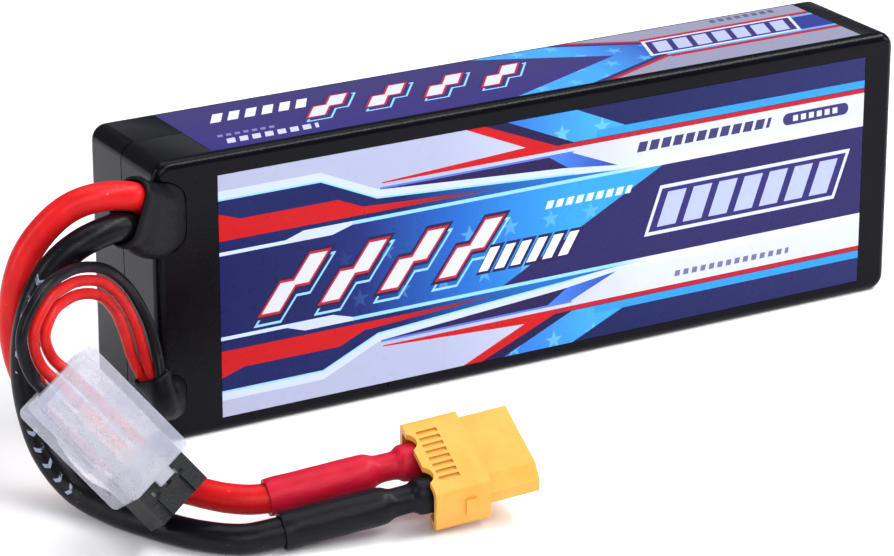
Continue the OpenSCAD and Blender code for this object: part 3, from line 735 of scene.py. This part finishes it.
def gauge(f, tone, x, z, x0, x1, z0, z1):
    """A plain battery gauge: a slanted pale frame round a row of equal bars."""
    rim, gap, count = 0.6, 1.3, 7
    mid, half = (x0 + x1) / 2, (x1 - x0) / 2
    mz, hz = (z0 + z1) / 2, (z1 - z0) / 2
    s = x - (z - mz) * 0.36
    box = (abs(s - mid) - half).larger(abs(z - mz) - hz)
    tone = f.mix(box < 0.0, tone, white)
    tone = f.mix(box < -rim, tone, ink(44, 38, 104))
    run = (s - (mid - half + gap)) / ((half - gap) * 2 / count)
    bar = abs(run.wrapped(1.0) - 0.5) < 0.36
    return f.mix((box < -gap) * bar, tone, ink(168, 176, 214))


def film(f, tone):
    """Gloss film over the print: faint mottle and soft waves."""
    f.feed("Base Color", tone)
    f.feed("Roughness", f.noise(420.0, 3.0) * 0.06 + 0.25)
    f.bump(f.noise(38.0, 2.0), 0.00005)


def front_print():
    """Front label, mirrored about its middle line: w is the distance from it."""
    f = Finish("front_label", 0.26, Specular_IOR_Level=0.16)
    x, _, z = f.place()
    w = abs(z - front_middle)
    starred = stars(f, x + 1.5, z, 7.6, 1.75, 0.93)
    ground = f.mix(x.ramp(-20.0, 25.0), lav, white)
    edge = bent(x, [(-58.4, 15.7), (-40.5, 15.7), (-30.5, 11.3), (4.0, 9.1), (14.0, 8.4)])
    tone = f.mix(w < edge + 1.6, ground, pale)
    # wedge of violet and blue that parts the pale bands
    wedge_low = bent(x, [(-30.0, 12.7), (4.0, 10.4), (14.2, 9.2)])
    wedge_high = bent(x, [(-30.0, 12.75), (5.5, 12.75), (14.2, 9.2)])
    wedge = (w > wedge_low) * (w < wedge_high) * (x > -30.0) * (x < 14.2)
    blade = f.mix(right_of(x, w, (1.0, 12.75), (4.8, 10.3)), deep_violet,
                  f.mix(x.ramp(1.0, 14.0), ink(60, 120, 214), ink(44, 60, 150)))
    tone = f.mix(wedge, tone, blade)
    hairline = (w > 12.7) * (w < 13.05) * (x > -30.0)
    hairline = hairline * right_of(13.0 - x, w, (7.5, 12.75), (7.2, 13.1))
    tone = f.mix(hairline, tone, ink(78, 108, 200))
    # outer chevrons
    outer = w > 13.65
    chevron = right_of(x, w, (-15.0, 20.2), (-3.3, 15.1))
    sliver = (x > -29.6) * (w < 13.85 + (x + 29.6) * 0.0486)
    tone = f.mix(outer * chevron.larger(sliver), tone, red)
    tone = f.mix(outer * right_of(x, w, (-11.6, 20.2), (2.4, 14.5)), tone, ink(24, 15, 64))
    starry = f.mix(x.ramp(-6.0, 9.0), ink(44, 104, 196), ink(58, 152, 230))
    starry = f.mix(starred * 0.55, starry, ink(112, 190, 250))
    tone = f.mix(outer * right_of(x, w, (-7.4, 20.2), (5.6, 14.6)) * (w > 14.55),
                 tone, starry)
    tone = f.mix((w > 14.6) * (w < 15.85) * (x > 10.0), tone, sky)
    far_navy = f.mix(x.ramp(10.0, 63.0), ink(18, 24, 78), ink(32, 36, 90))
    tone = f.mix((w > 15.85) * right_of(x, w, (5.6, 20.2), (15.5, 15.85)), tone, far_navy)
    tone = f.mix(outer * (w < 14.45) * (x > 1.0), tone, crimson)
    # bent navy and red bands on the left
    inner = f.mix(x.ramp(-26.0, 0.0), navy, ink(26, 98, 178))
    tone = f.mix(w < edge, tone, inner)
    tone = f.mix((w < edge + 0.3) * (w > edge) * (x < 6.0), tone, line_blue)
    stripe = bent(x, [(-58.4, 13.6), (-54.5, 12.3), (-37.5, 12.3), (-33.0, 10.4), (-9.0, 9.1)])
    stripe_ink = f.mix(x.ramp(-30.0, -9.0), red, maroon)
    tone = f.mix((w < stripe) * (w > 9.1) * (x < -9.0), tone, stripe_ink)
    # pale wedges and light line round the centre band
    upper = bent(x, [(-46.8, 7.3), (-43.6, 8.35)])
    lower = bent(x, [(-38.6, 6.7), (-35.0, 7.75)])
    rim = f.mix(x.ramp(-44.0, -35.0), ink(190, 208, 244), line_blue)
    rim = f.mix((x > -46.8) * (x < -35.0), rim, pale)
    tone = f.mix((w < upper) * (w > lower) * (x < 24.0), tone, rim)
    # centre band from navy to sky blue, then indigo past the diagonal
    blues = [(0.0, ink(16, 24, 84)), (0.22, ink(20, 36, 108)),
             (0.55, ink(26, 92, 180)), (1.0, ink(46, 146, 222))]
    field = f.add("ShaderNodeValToRGB", {"stops": blues}, [x.ramp(-44.0, 6.0)])
    field = f.mix(starred * x.ramp(-38.0, -14.0) * 0.42, field, ink(104, 182, 246))
    past_diagonal = f.mix(x.ramp(-5.0, 60.0), indigo, ink(38, 33, 88))
    field = f.mix(right_of(-x, z, (-22.8, 30.3), (7.5, 14.9)), past_diagonal, field)
    tone = f.mix(w < lower, tone, field)
    # white bands at the right end, their grey foot and faint stars
    band = (w > 7.75) * (w < 13.65) * (x > 14.2)
    ghost = stars(f, x - 2.0, z, 6.1, 1.5, 1.0)
    foot = f.mix(w < 9.2, white, ink(206, 208, 228))
    foot = f.mix(ghost * 0.3, foot, ink(186, 194, 222))
    tone = f.mix(band * x.ramp(14.2, 20.0), tone, foot)
    # bolts, dashes and gauge
    tone = bolts(f, tone, x, z - front_middle, -50.6, 3.7, 4.6, ink(30, 20, 66))
    tone = dashes(f, tone, x, z, -12.6, 5.4, 17.6, 22.4, 3.0, 0.88, ink(30, 22, 70), 0.6)
    tone = dashes(f, tone, x, z, -12.1, 5.0, 18.1, 21.9, 3.0, 0.6, ink(226, 228, 244), 0.6)
    tone = dashes(f, tone, x, z, 0.4, 16.6, 26.6, 27.9, 1.9, 0.66, ink(196, 222, 250), 0.4)
    tone = dashes(f, tone, x, z, 17.8, 43.8, 33.3, 35.0, 2.3, 0.74, ink(58, 54, 100), 0.3)
    pill = ((abs(x - 53.2) - 5.6).larger(0.0).power(2.0) + (z - 34.1).power(2.0)) < 1.1
    tone = f.mix(pill, tone, ink(52, 48, 104))
    tone = dashes(f, tone, x, z, 48.6, 58.2, 33.6, 34.6, 1.6, 0.62, ink(200, 204, 230), 0.0)
    tone = dashes(f, tone, x, z, 25.6, 48.4, 10.3, 11.3, 1.7, 0.6, ink(104, 106, 142), 0.2)
    tone = gauge(f, tone, x, z, 21.0, 59.0, 18.4, 26.8)
    film(f, tone)
    return f


def top_print():
    """Top label: violet end, blue arms and a grey field round a long stripe."""
    f = Finish("top_label", 0.26, Specular_IOR_Level=0.22)
    x, y, _ = f.place()
    q = abs(y - top_middle)
    violet = f.mix(y.ramp(-9.0, 9.0), ink(44, 34, 108), ink(50, 42, 100))
    grey = ink(136, 135, 160)
    tone = f.mix(right_of(-x, q, (-16.0, 10.2), (-29.0, 4.7)), grey, crimson)
    run = x > 29.0
    tone = f.mix(run * (q < 5.2), tone, crimson)
    tone = f.mix(run * (q < 4.2), tone, ink(36, 40, 108))
    tone = f.mix(run * (q < 4.0), tone, ink(92, 164, 232))
    tone = f.mix(run * (q < 3.2), tone, ink(36, 44, 128))
    arm = f.mix(x.ramp(14.0, 30.0), ink(58, 146, 224), ink(40, 70, 162))
    arm = f.mix(stars(f, x, y, 6.4, 1.7, 0.9) * 0.5, arm, ink(100, 184, 246))
    tone = f.mix(right_of(-x, q, (-14.0, 10.2), (-28.6, 4.0)) * (x < 29.0),
                 tone, ink(34, 36, 96))
    tone = f.mix(right_of(-x, q, (-11.5, 10.2), (-27.4, 3.4)) * (x < 29.0), tone, arm)
    tone = f.mix(right_of(-x, q, (2.6, 10.2), (-20.5, 0.2)) * (x < 21.0), tone, violet)
    tone = bolts(f, tone, x, y - 1.0, -37.6, 3.5, 4.3, ink(46, 30, 92))
    tone = dashes(f, tone, x, y, -52.6, -35.6, 2.0, 5.8, 3.0, 0.62, ink(214, 216, 236), 0.6)
    tone = dashes(f, tone, x, y, -54.6, -38.6, -8.0, -5.9, 2.2, 0.66, ink(190, 190, 222), 0.4)
    tone = dashes(f, tone, x, y, -54.6, -44.6, -4.7, -3.7, 1.5, 0.6, ink(120, 116, 168), 0.3)
    tone = dashes(f, tone, x, y, 45.0, 58.0, 7.9, 9.4, 1.7, 0.62, ink(84, 84, 116), 0.2)
    tone = gauge(f, tone, x, y, 27.5, 57.5, -2.7, 4.8)
    film(f, tone)
    return f


wear(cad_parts["label_front"], front_print())
wear(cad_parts["label_top"], top_print())


# ---------------------------------------------------------------- cells
# Two laminated pouches with a foam pad between them and tape against the
# case, joined at the lead end by strip tabs, a series bar and a tap board.
foil = Finish("pouch_foil", 0.32, Metallic=0.9)
crease = foil.noise(120.0, 5.0, 0.65)
foil.feed("Base Color", foil.mix(crease.ramp(0.3, 0.7), ink(196, 199, 206),
                                 ink(168, 171, 180)))
foil.feed("Roughness", crease * 0.25 + 0.2)
foil.bump(crease + foil.noise(900.0, 2.0) * 0.1, 0.0002)
foam = Finish("foam_pad", 0.85)
pores = foam.noise(2600.0, 2.0)
foam.feed("Base Color", foam.mix(pores.ramp(0.4, 0.6), ink(230, 226, 214), ink(206, 202, 190)))
foam.bump(pores, 0.0002)
tape = Finish("foam_tape", 0.7)
tape.feed("Base Color", tape.mix(tape.noise(1500.0, 3.0), ink(244, 242, 234),
                                 ink(226, 222, 208)))
tape.bump(tape.noise(1800.0, 2.0), 0.0001)
bright = plated("aluminium_strip", ink(208, 210, 214), ink(186, 188, 194), 0.32)
nickel = plated("nickel_strip", ink(190, 182, 166), ink(166, 158, 144), 0.3)
copper = plated("copper_bar", ink(206, 134, 88), ink(176, 104, 64), 0.34)
board = Finish("tap_board", 0.36)
_, y, z = board.place()
weave = (y * 9.0).sine() * (z * 9.0).sine() * 0.5 + 0.5
board.feed("Base Color", board.mix(weave * 0.5, ink(34, 92, 58), ink(46, 116, 72)))
board.bump(weave, 0.00004)
paper = Finish("fish_paper", 0.8)
fibres = paper.noise(800.0, 5.0).ramp(0.3, 0.7)
paper.feed("Base Color", paper.mix(fibres, ink(216, 196, 146), ink(196, 172, 120)))
paper.bump(paper.noise(1600.0, 4.0), 0.0001)
for finish, nodes in ((foil, ("cell_front", "cell_back")), (foam, ("cell_pad",)),
                      (tape, ("tape_front", "tape_back")), (bright, ("positive_tabs",)),
                      (nickel, ("negative_tabs",)), (copper, ("series_bar",)),
                      (board, ("tap_board",)), (paper, ("insulating_paper",))):
    for node in nodes:
        wear(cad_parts[node], finish)


# ---------------------------------------------------------------- bench and light
# A plain pale bench under soft boxes: one overhead, a long strip that draws
# the line on the case's top edge, a broad one from the label side, and a weak
# one past each end.
bench_mesh = bpy.data.meshes.new("bench")
reach = 4
bench_mesh.from_pydata([(-reach, -reach, 0), (reach, -reach, 0), (reach, reach, 0),
                        (-reach, reach, 0)], [], [(0, 1, 2, 3)])
bench = bpy.data.objects.new("bench", bench_mesh)
bpy.context.scene.collection.objects.link(bench)
bench_finish = Finish("bench_pale", 0.9, Specular_IOR_Level=0.1)
bench_finish.feed("Base Color", bench_finish.mix(bench_finish.noise(3.0, 2.0),
                                                 ink(252, 252, 253), ink(250, 250, 252)))
wear(bench, bench_finish)
bench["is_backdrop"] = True


def soft_box(name, spot, aim, size, power):
    """A rectangular area light at spot, turned to aim, of that many watts."""
    lamp = bpy.data.lights.new(name, "AREA")
    lamp.shape = "RECTANGLE"
    lamp.size, lamp.size_y = size
    lamp.energy = power
    stand = bpy.data.objects.new(name, lamp)
    bpy.context.scene.collection.objects.link(stand)
    stand.location = spot
    stand.rotation_euler = (Vector(aim) - Vector(spot)).to_track_quat("-Z", "Y").to_euler()


soft_box("overhead", (0.1, 0.15, 1.3), (0, 0, 0), (1.2, 1.0), 8.5)
soft_box("edge_strip", (0.6, -0.45, 1.05), (0, 0, 0.03), (1.7, 0.22), 17.0)
soft_box("label_side", (-0.5, -1.3, 0.75), (0, 0, 0.02), (1.1, 0.8), 10.5)
soft_box("far_end", (1.2, -0.5, 0.5), (0, 0, 0.02), (0.6, 0.6), 5.0)
soft_box("lead_end", (-1.2, 0.15, 0.45), (0, 0, 0.02), (0.25, 0.9), 5.0)
world = bpy.data.worlds.new("studio")
bpy.context.scene.world = world
world.use_nodes = True
sky_light = world.node_tree.nodes["Background"]
sky_light.inputs["Color"].default_value = (0.9, 0.92, 1.0, 1.0)
sky_light.inputs["Strength"].default_value = 0.26
bpy.context.scene.view_settings.view_transform = "Standard"

low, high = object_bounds()
